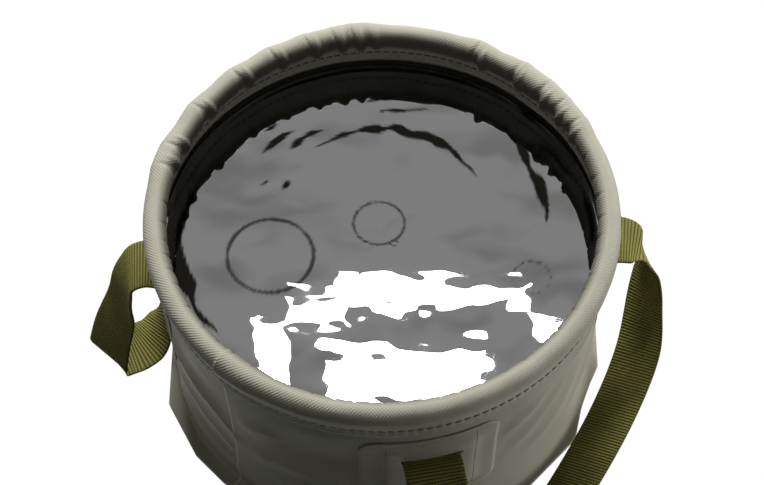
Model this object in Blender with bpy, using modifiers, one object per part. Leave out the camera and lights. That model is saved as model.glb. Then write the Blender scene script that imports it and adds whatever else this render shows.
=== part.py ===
"""Collapsible water bowl: a soft round bowl of coated fabric on a flat base, with two webbing handles.

Its rolled rim is held open by a hoop. Metres, +Z up, the front at -Y, origin in the middle of the underside.
An angle round the bowl is counted from the front, towards +X. Each handle swings about the straight line
between its two ends. The rim, strap roots and handles move down together when the bowl is folded flat.
"""

import math

import bmesh
import bpy
from mathutils import Vector

# Coated fabric, webbing and the play between pieces that touch
FABRIC = 0.0009
WEBBING_THICK = 0.0018
WEBBING_WIDTH = 0.038
PLAY = 0.0003

# Bowl; its two wall panels meet at the seam angle and half a turn further on
WALL_RADIUS = 0.1475
RIM_HEIGHT = 0.165
FIN_WIDTH = 0.010
FIN_BEND = 0.004
SEAM_ANGLE = -41.0
STEPS_HALF_TURN = 44
WALL_ROWS = 4
BEND_TURNS = (30.0, 60.0, 90.0)

# Rim: a hoop of plastic tube inside a rolled hem, sewn below it
ROLL_RADIUS = 0.0068
ROLL_NECK = 38.0
ROLL_STEPS = 12
HEM_DEPTH = 0.0225
HEM_CLOSE = 0.0125
HOOP_WALL = 0.0015
HOOP_SPLIT = 0.0010
HOOP_SIDES = 10
HOOP_STEPS = 64
JOINER_LENGTH = 0.050
JOINER_PLAY = 0.0009
JOINER_STEPS = 8
STITCH_DEPTH = 0.0150
THREAD = 0.0008
THREAD_SIDES = 4

# Anchor patches, welded on the wall over the ends of the webbing, each with a slit above its middle
PATCH_WIDTH = 0.091
PATCH_HEIGHT = 0.090
PATCH_CORNER = 0.014
PATCH_CENTRE_HEIGHT = 0.088
PATCH_RISE = 0.0023
PATCH_FLAT_EDGE = 0.006
PATCH_SLOPE = 0.008
PATCH_CELLS = 4
SLIT_RISE = 0.017
SLIT_PLAY_SIDE = 0.0015
SLIT_PLAY_FACE = 0.0006
TAIL_MARGIN = 0.0025

# Handles; each leaves its two roots at the strap's reach out from the wall
ANCHOR_SPREAD = 84.0
RIGHT_HANDLE_ANGLE = 54.0
LEFT_HANDLE_ANGLE = -131.0
STRAP_REACH = 0.0265
STRAIGHT_END = 0.027
RIGHT_LEAN = 30.0
STRAP_STEPS = 6

# Right handle, front end to back end: distance along the hinge line and depth in the leaning plane
RIGHT_ROUTE = (
    (-0.130, 0.045),
    (-0.144, 0.064),
    (-0.138, 0.085),
    (-0.110, 0.0985),
    (-0.060, 0.101),
    (-0.005, 0.0955),
    (0.036, 0.0865),
    (0.076, 0.069),
    (0.1065, 0.046),
)

# Left handle, back end to front end: along the hinge line, out from it, up from it, and the webbing's lean
LEFT_ROUTE = (
    (-0.1140, 0.0200, -0.0430, 28.0),
    (-0.0980, 0.0300, -0.0640, 25.0),
    (-0.0600, 0.0420, -0.0800, 14.0),
    (-0.0150, 0.0495, -0.0885, -8.0),
    (0.0300, 0.0465, -0.0905, -26.0),
    (0.0650, 0.0350, -0.0915, -30.0),
    (0.0900, 0.0215, -0.0950, -20.0),
    (0.1080, 0.0085, -0.0990, -5.0),
    (0.1230, 0.0025, -0.1005, 0.0),
    (0.1390, 0.0058, -0.1002, 2.0),
    (0.1425, 0.0064, -0.0965, 2.0),
    (0.1405, 0.0066, -0.0900, 2.0),
    (0.1335, 0.0066, -0.0740, 3.0),
    (0.1240, 0.0045, -0.0500, 4.0),
)
LEFT_END_LEANS = (28.0, 5.0)

# Worked out from the sizes above
WALL_TOP = RIM_HEIGHT - HEM_DEPTH - PLAY
SLIT_HEIGHT = PATCH_CENTRE_HEIGHT + SLIT_RISE
HINGE_RADIUS = WALL_RADIUS + STRAP_REACH

# Finishes: colour and roughness
PVC = ((0.33, 0.32, 0.27, 1.0), 0.45)
WEBBING = ((0.13, 0.14, 0.045, 1.0), 0.8)
HOOP_PLASTIC = ((0.60, 0.60, 0.58, 1.0), 0.4)
THREAD_FINISH = ((0.03, 0.028, 0.02, 1.0), 0.8)
SHARP_ANGLE = 35.0


def clear_scene():
    for thing in list(bpy.data.objects):
        bpy.data.objects.remove(thing, do_unlink=True)


def make_collection(name):
    collection = bpy.data.collections.new(name)
    bpy.context.scene.collection.children.link(collection)
    return collection


def make_material(name, finish):
    colour, roughness = finish
    material = bpy.data.materials.new(name)
    material.use_nodes = True
    shader = material.node_tree.nodes["Principled BSDF"]
    shader.inputs["Base Color"].default_value = colour
    shader.inputs["Roughness"].default_value = roughness
    shader.inputs["Metallic"].default_value = 0.0
    material.diffuse_color = colour
    return material


def add_object(name, data, finish, parent):
    """A piece in the bowl's collection with a material of its own."""
    thing = bpy.data.objects.new(name, data)
    data.materials.append(make_material(name, finish))
    bowl.objects.link(thing)
    thing.parent = parent
    return thing


def thicken(thing, thickness):
    """Gives an open surface its thickness, half to each side."""
    modifier = thing.modifiers.new("thickness", "SOLIDIFY")
    modifier.thickness = thickness
    modifier.offset = 0.0
    modifier.use_even_offset = True


def smooth(thing):
    thing.data.shade_smooth()
    thing.data.set_sharp_from_angle(angle=math.radians(SHARP_ANGLE))


def outward(angle):
    """The level direction away from the bowl's axis at an angle in degrees from the front."""
    turn = math.radians(angle)
    return Vector((math.sin(turn), -math.cos(turn), 0.0))


def turned(name, profile, closed, start, sweep, steps, finish, parent):
    """A profile of (radius, height) points, turned round the bowl's axis from an angle on by a sweep."""
    mesh = bpy.data.meshes.new(name)
    build = bmesh.new()
    points = [build.verts.new((radius, 0.0, height)) for radius, height in profile]
    for first, second in zip(points, points[1:]):
        build.edges.new((first, second))
    if closed:
        build.edges.new((points[-1], points[0]))
    build.to_mesh(mesh)
    build.free()
    thing = add_object(name, mesh, finish, parent)
    thing.rotation_euler.z = math.radians(start - 90.0)
    screw = thing.modifiers.new("turn", "SCREW")
    screw.angle = math.radians(sweep)
    screw.steps = steps
    screw.render_steps = steps
    screw.use_merge_vertices = sweep == 360.0
    screw.merge_threshold = 0.00001
    screw.use_smooth_shade = True
    return thing


def ring_profile(middle_radius, middle_height, radius, sides):
    """The points of a round section, in the order that turns into a tube with its faces out."""
    profile = []
    for turn in spread(0.0, 2.0 * math.pi, sides)[:-1]:
        profile.append((middle_radius + radius * math.cos(turn), middle_height - radius * math.sin(turn)))
    return profile


def sheet_from_grid(name, columns, rows, place, keep, thickness, finish, parent):
    """A sheet on a grid of column and row values, each point placed by a function, then thickened."""
    mesh = bpy.data.meshes.new(name)
    build = bmesh.new()
    bmesh.ops.create_grid(build, x_segments=len(columns) - 1, y_segments=len(rows) - 1, size=1.0)
    index = {}
    for vert in build.verts:
        column = round((vert.co.x + 1.0) / 2.0 * (len(columns) - 1))
        row = round((vert.co.y + 1.0) / 2.0 * (len(rows) - 1))
        index[vert] = (column, row)
    openings = []
    for face in build.faces:
        column = min(index[vert][0] for vert in face.verts)
        row = min(index[vert][1] for vert in face.verts)
        middle = ((columns[column] + columns[column + 1]) / 2, (rows[row] + rows[row + 1]) / 2)
        if not keep(*middle):
            openings.append(face)
    bmesh.ops.delete(build, geom=openings, context="FACES")
    for vert in build.verts:
        column, row = index[vert]
        vert.co = place(columns[column], rows[row])
    build.to_mesh(mesh)
    build.free()
    thing = add_object(name, mesh, finish, parent)
    smooth(thing)
    thicken(thing, thickness)


def keep_all(_column, _row):
    return True


def spread(first, last, count):
    """Evenly spaced values from first to last."""
    return [first + (last - first) * step / count for step in range(count + 1)]


def ease(share):
    """Smooth rise from 0 to 1."""
    share = max(0.0, min(1.0, share))
    return share * share * (3.0 - 2.0 * share)


def base_disc():
    """The round floor panel; the wall's turned-out edge is welded on its margin."""
    mesh = bpy.data.meshes.new("base_disc")
    build = bmesh.new()
    bmesh.ops.create_cone(
        build,
        cap_ends=True,
        segments=2 * STEPS_HALF_TURN,
        radius1=WALL_RADIUS + FIN_WIDTH,
        radius2=WALL_RADIUS + FIN_WIDTH,
        depth=FABRIC,
    )
    build.to_mesh(mesh)
    build.free()
    thing = add_object("base_disc", mesh, PVC, base)
    thing.location.z = FABRIC / 2
    smooth(thing)


def wall_panel(name, start):
    """Half of the wall, from under the hem down to the fin that is welded on the base."""
    fin_height = 1.5 * FABRIC + PLAY
    profile = [(WALL_RADIUS, height) for height in spread(WALL_TOP, fin_height + FIN_BEND, WALL_ROWS)]
    for turn in BEND_TURNS:
        bend = math.radians(turn)
        radius = WALL_RADIUS + FIN_BEND * (1.0 - math.cos(bend))
        profile.append((radius, fin_height + FIN_BEND * (1.0 - math.sin(bend))))
    profile.append((WALL_RADIUS + FIN_WIDTH, fin_height))
    gap = math.degrees(PLAY / WALL_RADIUS)
    thicken(turned(name, profile, False, start + gap / 2, 180.0 - gap, STEPS_HALF_TURN, PVC, base), FABRIC)


def rim_hem(name, start):
    """Half of the hem: up inside, over the hoop and down outside, where the two layers are sewn together."""
    layer = (FABRIC + PLAY) / 2
    bottom = RIM_HEIGHT - HEM_DEPTH
    meet = math.asin(layer / ROLL_RADIUS)
    neck = math.radians(ROLL_NECK)
    profile = [(WALL_RADIUS - layer, bottom), (WALL_RADIUS - layer, RIM_HEIGHT - HEM_CLOSE)]
    for turn in spread(-math.pi / 2 - meet - neck, -3.0 * math.pi / 2 - math.pi + meet + neck, ROLL_STEPS):
        across, up = ROLL_RADIUS * math.cos(turn), ROLL_RADIUS * math.sin(turn)
        profile.append((WALL_RADIUS + across, RIM_HEIGHT + up))
    profile += [(WALL_RADIUS + layer, RIM_HEIGHT - HEM_CLOSE), (WALL_RADIUS + layer, bottom)]
    gap = math.degrees(PLAY / WALL_RADIUS)
    thicken(turned(name, profile, False, start + gap / 2, 180.0 - gap, STEPS_HALF_TURN, PVC, rim), FABRIC)


def rim_hoop():
    """A plastic tube bent to a hoop; its two ends meet over the joiner, at the back seam."""
    middle_of_wall = ROLL_RADIUS - FABRIC / 2 - PLAY - HOOP_WALL / 2
    profile = ring_profile(WALL_RADIUS, RIM_HEIGHT, middle_of_wall, HOOP_SIDES)
    split = math.degrees(HOOP_SPLIT / WALL_RADIUS)
    start = SEAM_ANGLE + 180.0 + split / 2
    hoop = turned("rim_hoop", profile, True, start, 360.0 - split, HOOP_STEPS, HOOP_PLASTIC, rim)
    thicken(hoop, HOOP_WALL)


def hoop_joiner():
    """The plug inside the hoop's two ends, bent like the hoop."""
    curve = bpy.data.curves.new("hoop_joiner", "CURVE")
    curve.dimensions = "3D"
    curve.bevel_depth = ROLL_RADIUS - FABRIC / 2 - PLAY - HOOP_WALL - JOINER_PLAY
    curve.bevel_resolution = 2
    curve.use_fill_caps = True
    half = math.degrees(JOINER_LENGTH / 2 / WALL_RADIUS)
    angles = spread(SEAM_ANGLE + 180.0 - half, SEAM_ANGLE + 180.0 + half, JOINER_STEPS)
    spline = curve.splines.new("POLY")
    spline.points.add(len(angles) - 1)
    for point, angle in zip(spline.points, angles):
        point.co = (*(WALL_RADIUS * outward(angle) + Vector((0.0, 0.0, RIM_HEIGHT))), 1.0)
    add_object("hoop_joiner", curve, HOOP_PLASTIC, rim)


def hem_thread():
    """The thread that closes the hem, as one fine ring along the row of stitches on the outside."""
    middle = WALL_RADIUS + PLAY / 2 + FABRIC + PLAY + THREAD / 2
    profile = ring_profile(middle, RIM_HEIGHT - STITCH_DEPTH, THREAD / 2, THREAD_SIDES)
    turned("hem_thread", profile, True, 0.0, 360.0, 2 * STEPS_HALF_TURN, THREAD_FINISH, rim)


def rounded(across, up):
    """Draws the corners of the patch's rectangle in to quarter circles."""
    side = max(0.0, abs(across) - (PATCH_WIDTH / 2 - PATCH_CORNER))
    end = max(0.0, abs(up) - (PATCH_HEIGHT / 2 - PATCH_CORNER))
    if side == 0.0 or end == 0.0:
        return across, up
    shrink = max(side, end) / math.hypot(side, end)
    return (
        math.copysign(abs(across) - side * (1.0 - shrink), across),
        math.copysign(abs(up) - end * (1.0 - shrink), up),
    )


def anchor_patch(name, angle):
    """A rounded patch on the wall, raised over the webbing's end, with a slit that the strap leaves by."""
    slit = SLIT_HEIGHT - PATCH_CENTRE_HEIGHT
    slit_half_width = WEBBING_WIDTH / 2 + SLIT_PLAY_SIDE
    slit_half_height = WEBBING_THICK / 2 + SLIT_PLAY_FACE
    side = PATCH_WIDTH / 2
    end = PATCH_HEIGHT / 2
    columns = spread(-side, -slit_half_width, PATCH_CELLS)
    columns += spread(-slit_half_width, slit_half_width, PATCH_CELLS)[1:]
    columns += spread(slit_half_width, side, PATCH_CELLS)[1:]
    rows = spread(-end, slit - slit_half_height, 2 * PATCH_CELLS)
    rows += spread(slit + slit_half_height, end, PATCH_CELLS)

    def place(across, up):
        across, up = rounded(across, up)
        inset = min(side - abs(across), end - abs(up))
        rise = PATCH_RISE * ease((inset - PATCH_FLAT_EDGE) / PATCH_SLOPE)
        radius = WALL_RADIUS + FABRIC + PLAY + rise
        point = radius * outward(angle + math.degrees(across / WALL_RADIUS))
        point.z = PATCH_CENTRE_HEIGHT + up
        return point

    def outside_slit(across, up):
        return abs(across) > slit_half_width or abs(up - slit) > slit_half_height

    sheet_from_grid(name, columns, rows, place, outside_slit, FABRIC, PVC, base)


def strap_tail(name, angle):
    """The end of the webbing, held flat between the wall and the patch's raised part, below the slit."""
    radius = WALL_RADIUS + FABRIC / 2 + PLAY + WEBBING_THICK / 2
    top = SLIT_HEIGHT - WEBBING_THICK / 2 - SLIT_PLAY_FACE
    bottom = PATCH_CENTRE_HEIGHT - PATCH_HEIGHT / 2 + PATCH_FLAT_EDGE + PATCH_SLOPE + TAIL_MARGIN

    def place(across, up):
        point = radius * outward(angle + math.degrees(across / radius))
        point.z = up
        return point

    columns = spread(-WEBBING_WIDTH / 2, WEBBING_WIDTH / 2, PATCH_CELLS)
    sheet_from_grid(name, columns, [bottom, top], place, keep_all, WEBBING_THICK, WEBBING, base)


def strap_root(name, angle, handle_angle):
    """The short run of webbing from the slit to the side of the handle's end."""
    lean = math.radians(handle_angle - angle)
    out = Vector((math.cos(lean), math.sin(lean), 0.0))
    inner_side = math.copysign(1.0, lean)
    along = inner_side * Vector((-math.sin(lean), math.cos(lean), 0.0))
    start = WALL_RADIUS + FABRIC / 2 + 2 * PLAY - HINGE_RADIUS
    beside = (WEBBING_THICK / 2 + PLAY) * along
    half = WEBBING_WIDTH / 2
    corners = [Vector((start, -half, 0.0)), Vector((start, half, 0.0))]
    if inner_side < 0:
        corners.reverse()
    corners += [beside + half * out, beside - half * out]
    curve = bpy.data.curves.new(name, "CURVE")
    curve.dimensions = "2D"
    curve.fill_mode = "BOTH"
    curve.extrude = WEBBING_THICK / 2
    spline = curve.splines.new("POLY")
    spline.points.add(len(corners) - 1)
    for point, corner in zip(spline.points, corners):
        point.co = (*corner, 1.0)
    spline.use_cyclic_u = True
    thing = add_object(name, curve, WEBBING, roots)
    thing.location = HINGE_RADIUS * outward(angle)
    thing.rotation_euler.z = math.radians(angle - 90.0)


def smooth_route(stations, steps):
    """A smooth curve through the stations, with its first and last stretch left straight."""
    route = [stations[0]]
    for before, here, there, after in zip(stations, stations[1:], stations[2:], stations[3:]):
        for step in range(steps):
            share = step / steps
            route.append(
                0.5
                * (
                    2 * here
                    + (there - before) * share
                    + (2 * before - 5 * here + 4 * there - after) * share**2
                    + (3 * here - before - 3 * there + after) * share**3
                )
            )
    return route + [stations[-2], stations[-1]]


def handle_loop(name, stations):
    """A strip of webbing along stations of (along the hinge, out, up, lean), in the hinge's frame."""
    route = smooth_route([Vector(station) for station in stations], STRAP_STEPS)

    def place(across, number):
        along, out, up, lean = route[number]
        turn = math.radians(lean)
        return Vector((out + across * math.cos(turn), along, up + across * math.sin(turn)))

    columns = [-WEBBING_WIDTH / 2, WEBBING_WIDTH / 2]
    numbers = list(range(len(route)))
    sheet_from_grid(name, columns, numbers, place, keep_all, WEBBING_THICK, WEBBING, hinges[name])


def right_stations():
    """The right handle lies in one leaning plane and leaves its hinge line straight."""
    half_span = HINGE_RADIUS * math.sin(math.radians(ANCHOR_SPREAD / 2))
    flat = [(-half_span, 0.0), (-half_span, STRAIGHT_END), *RIGHT_ROUTE]
    flat += [(half_span, STRAIGHT_END), (half_span, 0.0)]
    turn = math.radians(RIGHT_LEAN)
    out, down = math.sin(turn), math.cos(turn)
    return [(along, depth * out, -depth * down, RIGHT_LEAN) for along, depth in flat]


def left_stations():
    """The left handle hangs to the ground in front, turns a sharp corner and runs back round the bowl."""
    half_span = HINGE_RADIUS * math.sin(math.radians(ANCHOR_SPREAD / 2))
    ends = []
    for lean, along in zip(LEFT_END_LEANS, (-half_span, half_span)):
        turn = math.radians(lean)
        straight = (along, STRAIGHT_END * math.sin(turn), -STRAIGHT_END * math.cos(turn), lean)
        ends.append(((along, 0.0, 0.0, lean), straight))
    return [ends[0][0], ends[0][1], *LEFT_ROUTE, ends[1][1], ends[1][0]]


def make_empty(name, location, parent, turn=0.0):
    empty = bpy.data.objects.new(name, None)
    empty.location = location
    empty.rotation_euler.z = math.radians(turn)
    empty.parent = parent
    bowl.objects.link(empty)
    return empty


clear_scene()
bowl = make_collection("collapsible_water_bowl")
base = make_empty("base", (0.0, 0.0, 0.0), None)
rim = make_empty("rim", (0.0, 0.0, 0.0), base)
roots = make_empty("strap_roots", (0.0, 0.0, SLIT_HEIGHT), base)

hinge_reach = HINGE_RADIUS * math.cos(math.radians(ANCHOR_SPREAD / 2))
hinges = {}
for handle_name, handle_angle in (("handle_right", RIGHT_HANDLE_ANGLE), ("handle_left", LEFT_HANDLE_ANGLE)):
    middle = hinge_reach * outward(handle_angle)
    hinges[handle_name] = make_empty(handle_name + "_hinge", middle, roots, handle_angle - 90.0)

base_disc()
wall_panel("wall_panel_front", SEAM_ANGLE)
wall_panel("wall_panel_back", SEAM_ANGLE + 180.0)
rim_hoop()
hoop_joiner()
rim_hem("rim_hem_front", SEAM_ANGLE)
rim_hem("rim_hem_back", SEAM_ANGLE + 180.0)
hem_thread()

anchors = {
    "front": (RIGHT_HANDLE_ANGLE, -ANCHOR_SPREAD / 2),
    "right": (RIGHT_HANDLE_ANGLE, ANCHOR_SPREAD / 2),
    "left": (LEFT_HANDLE_ANGLE, ANCHOR_SPREAD / 2),
    "back": (LEFT_HANDLE_ANGLE, -ANCHOR_SPREAD / 2),
}
for side, (handle_angle, turn) in anchors.items():
    anchor_patch("anchor_patch_" + side, handle_angle + turn)
    strap_tail("strap_tail_" + side, handle_angle + turn)
    strap_root("strap_root_" + side, handle_angle + turn, handle_angle)

handle_loop("handle_right", right_stations())
handle_loop("handle_left", left_stations())
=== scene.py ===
# %% [markdown]
# # A collapsible water bowl
#
# The real object is a soft, round tub of coated tarpaulin. A plastic hoop in a sewn hem holds its
# mouth open, and two webbing handles come out of slits in four patches. This lesson dresses the
# CAD frame of that bowl: cloth with folds, a puckered hem with stitches, patches with weld lines,
# and ribbed webbing.

# %% Load the frame
import math
import random

import bmesh
import bpy
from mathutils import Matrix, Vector, noise


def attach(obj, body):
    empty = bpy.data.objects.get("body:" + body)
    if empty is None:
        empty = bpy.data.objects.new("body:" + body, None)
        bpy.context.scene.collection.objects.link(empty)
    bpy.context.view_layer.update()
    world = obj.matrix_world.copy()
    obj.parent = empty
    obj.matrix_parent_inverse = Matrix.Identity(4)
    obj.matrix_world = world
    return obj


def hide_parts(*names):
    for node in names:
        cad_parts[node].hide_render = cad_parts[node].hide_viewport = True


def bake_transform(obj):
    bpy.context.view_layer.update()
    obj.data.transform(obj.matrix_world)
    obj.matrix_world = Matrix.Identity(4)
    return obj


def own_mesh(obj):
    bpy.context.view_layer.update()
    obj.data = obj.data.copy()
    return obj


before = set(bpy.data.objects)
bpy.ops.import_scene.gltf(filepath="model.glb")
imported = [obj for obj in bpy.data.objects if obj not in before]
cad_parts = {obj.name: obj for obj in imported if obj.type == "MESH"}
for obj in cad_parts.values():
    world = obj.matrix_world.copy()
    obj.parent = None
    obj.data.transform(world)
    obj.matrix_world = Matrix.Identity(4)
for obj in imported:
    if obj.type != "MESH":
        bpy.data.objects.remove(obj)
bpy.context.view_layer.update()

# %% Sizes that the CAD settled
WALL_RADIUS = 0.1475
RIM_HEIGHT = 0.165
FABRIC = 0.0009
PLAY = 0.0003
HEM_BOTTOM = 0.1425
STITCH_HEIGHT = 0.150
SEAM_ANGLE = -41.0
HINGE_HEIGHT = 0.105
ANCHOR_ANGLES = {"front": 12.0, "right": 96.0, "left": -89.0, "back": -173.0}
HANDLE_ANGLES = {"right": 54.0, "left": -131.0}
WEBBING_WIDTH = 0.038
WEBBING_THICK = 0.0018
PATCH_WIDTH = 0.091
PATCH_HEIGHT = 0.090
PATCH_CENTRE = 0.088

# %% [markdown]
# ## The camera
#
# The photograph looks down into the bowl from in front. A long lens from a little over a metre
# away keeps the round mouth nearly a true ellipse.

# %% Camera
CAMERA_ELEVATION = 57.2
CAMERA_DISTANCE = 1.2
CAMERA_LENS = 84.96
LOOK_AT = Vector((0.0, 0.0, 0.129))

camera_data = bpy.data.cameras.new("camera")
camera_data.lens = CAMERA_LENS
camera_data.sensor_width = 36.0
camera_data.clip_start = 0.01
camera = bpy.data.objects.new("camera", camera_data)
bpy.context.collection.objects.link(camera)
lift = math.radians(CAMERA_ELEVATION)
camera.location = LOOK_AT + CAMERA_DISTANCE * Vector((0.0, -math.cos(lift), math.sin(lift)))
camera.rotation_euler = (math.pi / 2 - lift, 0.0, 0.0)
bpy.context.scene.camera = camera
print("camera at", [round(value, 3) for value in camera.location])

# %% [markdown]
# ## A language for round cloth
#
# Everything on a round bowl is easiest to say as an angle, a radius and a height. Angle 0 faces
# the camera and grows towards the right. Cloth is laid out flat, as on a cutting table, and then
# every point is bent to its place. The flat layout stays as the UV map, in metres, so that weave
# and weld lines follow the cloth.


# %% Angles round the bowl
def outward(angle):
    """The flat direction out of the bowl at an angle in degrees."""
    turn = math.radians(angle)
    return Vector((math.sin(turn), -math.cos(turn), 0.0))


def around(angle):
    """The flat direction along the wall, towards growing angles."""
    turn = math.radians(angle)
    return Vector((math.cos(turn), math.sin(turn), 0.0))


def at(angle, radius, height):
    """A point by angle, radius and height."""
    return outward(angle) * radius + Vector((0.0, 0.0, height))


def angle_between(angle, other):
    """The turn from one angle to another, from -180 to 180."""
    return (angle - other + 180.0) % 360.0 - 180.0


def degrees_along(length):
    """How many degrees a length takes on the wall."""
    return math.degrees(length / WALL_RADIUS)


def ease(value, low, high):
    """0 below low, 1 above high, and smooth between."""
    share = min(1.0, max(0.0, (value - low) / (high - low)))
    return share * share * (3.0 - 2.0 * share)


print("one degree of wall is", round(1000.0 / degrees_along(1.0), 2), "mm long")


# %% Flat cloth, bent to its place
def flat_cloth(width, height, columns, rows):
    """A flat grid from (0, 0), with its layout as its UV map."""
    build = bmesh.new()
    bmesh.ops.create_grid(build, x_segments=columns, y_segments=rows, size=0.5)
    bmesh.ops.translate(build, verts=build.verts, vec=(0.5, 0.5, 0.0))
    bmesh.ops.scale(build, verts=build.verts, vec=(width, height, 1.0))
    keep_layout(build)
    return build


def keep_layout(build):
    """Writes the flat places into the UV map."""
    layout = build.loops.layers.uv.verify()
    for face in build.faces:
        for loop in face.loops:
            loop[layout].uv = loop.vert.co.xy


def bend(build, place):
    """Moves every point of flat cloth to place(along, up)."""
    for vert in build.verts:
        vert.co = place(vert.co.x, vert.co.y)
    build.normal_update()


def finished(name, build, material, body, nodes=(), thickness=0.0):
    """The piece as an object on its body, in place of its CAD nodes."""
    mesh = bpy.data.meshes.new(name)
    build.to_mesh(mesh)
    build.free()
    piece = bpy.data.objects.new(name, mesh)
    bpy.context.collection.objects.link(piece)
    mesh.materials.append(material)
    mesh.shade_smooth()
    if thickness:
        shell = piece.modifiers.new("cloth thickness", "SOLIDIFY")
        shell.thickness = thickness
        shell.offset = 0.0
    if body:
        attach(piece, body)
    if nodes:
        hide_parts(*nodes)
    print(name, len(mesh.polygons), "faces")
    return piece


def fabric_piece(name, build, material, body, node_name):
    """A piece of the coated fabric that stands for one CAD node."""
    return finished(name, build, material, body, (node_name,), FABRIC)


def rounded(build, geom, affect, offset, segments):
    """Rounds edges or corners with a bevel."""
    how = {"offset_type": "OFFSET", "profile": 0.5, "material": -1}
    return bmesh.ops.bevel(build, geom=geom, affect=affect, offset=offset, segments=segments, **how)


def spin_round(build, geom, sweep, steps, **how):
    """Spins geometry round the middle of the bowl."""
    axis = (0.0, 0.0, 1.0)
    bmesh.ops.spin(build, geom=geom, cent=(0.0, 0.0, 0.0), axis=axis, angle=sweep, steps=steps, **how)


def spun_disc(radii, height, steps):
    """A flat disc: a line of points from the middle, spun once round."""
    build = bmesh.new()
    for radius in (0.0, *radii):
        build.verts.new((0.0, -radius, height))
    build.verts.ensure_lookup_table()
    for first, second in zip(build.verts[:-1], build.verts[1:]):
        build.edges.new((first, second))
    spin_round(build, build.verts[:] + build.edges[:], 2.0 * math.pi, steps, use_merge=True)
    bmesh.ops.remove_doubles(build, verts=build.verts, dist=0.000002)
    return build


def press_with_wall(piece):
    """Gives a piece its own copy of its mesh."""
    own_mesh(piece)
    return piece


# %% [markdown]
# ## Shader groups
#
# Two effects come back in several finishes, so each is a node group with named inputs: the fine
# diagonal weave under the coating, and soiling, which is slow, soft changes that keep a large
# surface from looking like film.


# %% Node helpers
def new_group(name, inputs, outputs):
    """A shader group with its sockets, and its two end nodes."""
    group = bpy.data.node_groups.new(name, "ShaderNodeTree")
    for socket, kind, value in inputs:
        made = group.interface.new_socket(name=socket, in_out="INPUT", socket_type="NodeSocket" + kind)
        if value is not None:
            made.default_value = value
    for socket, kind in outputs:
        group.interface.new_socket(name=socket, in_out="OUTPUT", socket_type="NodeSocket" + kind)
    return group, group.nodes.new("NodeGroupInput"), group.nodes.new("NodeGroupOutput")


def node(tree, kind, inputs=None, **settings):
    """A node with its settings, and its inputs linked or set."""
    made = tree.nodes.new(kind)
    for name, value in settings.items():
        setattr(made, name, value)
    for socket, value in (inputs or {}).items():
        if isinstance(value, bpy.types.NodeSocket):
            tree.links.new(value, made.inputs[socket])
        else:
            made.inputs[socket].default_value = value
    return made


def maths(tree, operation, first, second=0.0, third=0.0):
    """One Math node."""
    made = node(tree, "ShaderNodeMath", {0: first, 1: second, 2: third}, operation=operation)
    return made.outputs["Value"]


def mixed(tree, share, first, second):
    """A colour between two colours."""
    made = node(tree, "ShaderNodeMix", {0: share, 6: first, 7: second}, data_type="RGBA")
    return made.outputs[2]


def line_mask(tree, value, place, core, reach, strength=1.0):
    """A mask that is full within a core round a place, and 0 from its reach on."""
    off = maths(tree, "ABSOLUTE", maths(tree, "SUBTRACT", value, place))
    fade = {"Value": off, "From Min": core, "From Max": reach, "To Min": strength, "To Max": 0.0}
    return node(tree, "ShaderNodeMapRange", fade).outputs["Result"]


def new_finish(name):
    """A new material and its node tree."""
    material = bpy.data.materials.new(name)
    material.use_nodes = True
    return material, material.node_tree


def where_on(tree):
    """The ways to say where a point is on a piece."""
    return node(tree, "ShaderNodeTexCoord").outputs


def xyz(tree, place):
    """The X, Y and Z of a place."""
    return node(tree, "ShaderNodeSeparateXYZ", {"Vector": place}).outputs


def times(tree, first, second):
    """The product of two values or masks."""
    return maths(tree, "MULTIPLY", first, second)


def join_shaders(tree, share, first, second):
    """Ends a material in two shaders, mixed by a share."""
    blend = node(tree, "ShaderNodeMixShader", {0: share, 1: first, 2: second})
    tree.links.new(blend.outputs["Shader"], tree.nodes["Material Output"].inputs["Surface"])


def dress(tree, colour, gloss, low, high, height, strength, distance, specular=0.02):
    """Gives a shader its colour, its range of roughness and its bump."""
    shader = tree.nodes["Principled BSDF"]
    rough = node(tree, "ShaderNodeMapRange", {"Value": gloss, "To Min": low, "To Max": high})
    bump = node(tree, "ShaderNodeBump", {"Height": height, "Strength": strength, "Distance": distance})
    tree.links.new(colour, shader.inputs["Base Color"])
    tree.links.new(rough.outputs["Result"], shader.inputs["Roughness"])
    tree.links.new(bump.outputs["Normal"], shader.inputs["Normal"])
    shader.inputs["Specular IOR Level"].default_value = specular


def tint(tree, mask, colour):
    """Mixes one more colour over a shader's own, by a mask."""
    target = tree.nodes["Principled BSDF"].inputs["Base Color"]
    tree.links.new(mixed(tree, mask, target.links[0].from_socket, colour), target)


# %% Weave under the coating
weave_group, enter, leave = new_group(
    "weave under coating",
    [("Place", "Vector", None), ("Pitch", "Float", 0.001)],
    [("Height", "Float")],
)
parts = xyz(weave_group, enter.outputs["Place"])
turns = maths(weave_group, "DIVIDE", 2.0 * math.pi, enter.outputs["Pitch"])
waves = []
for operation in ("ADD", "SUBTRACT"):
    slant = maths(weave_group, operation, parts["X"], parts["Y"])
    waves.append(maths(weave_group, "SINE", times(weave_group, slant, turns)))
crossed = maths(weave_group, "MULTIPLY_ADD", waves[0], 0.65, times(weave_group, waves[1], 0.35))
raised = maths(weave_group, "MULTIPLY_ADD", crossed, 0.5, 0.5)
weave_group.links.new(raised, leave.inputs["Height"])
print("group", weave_group.name)

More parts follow.
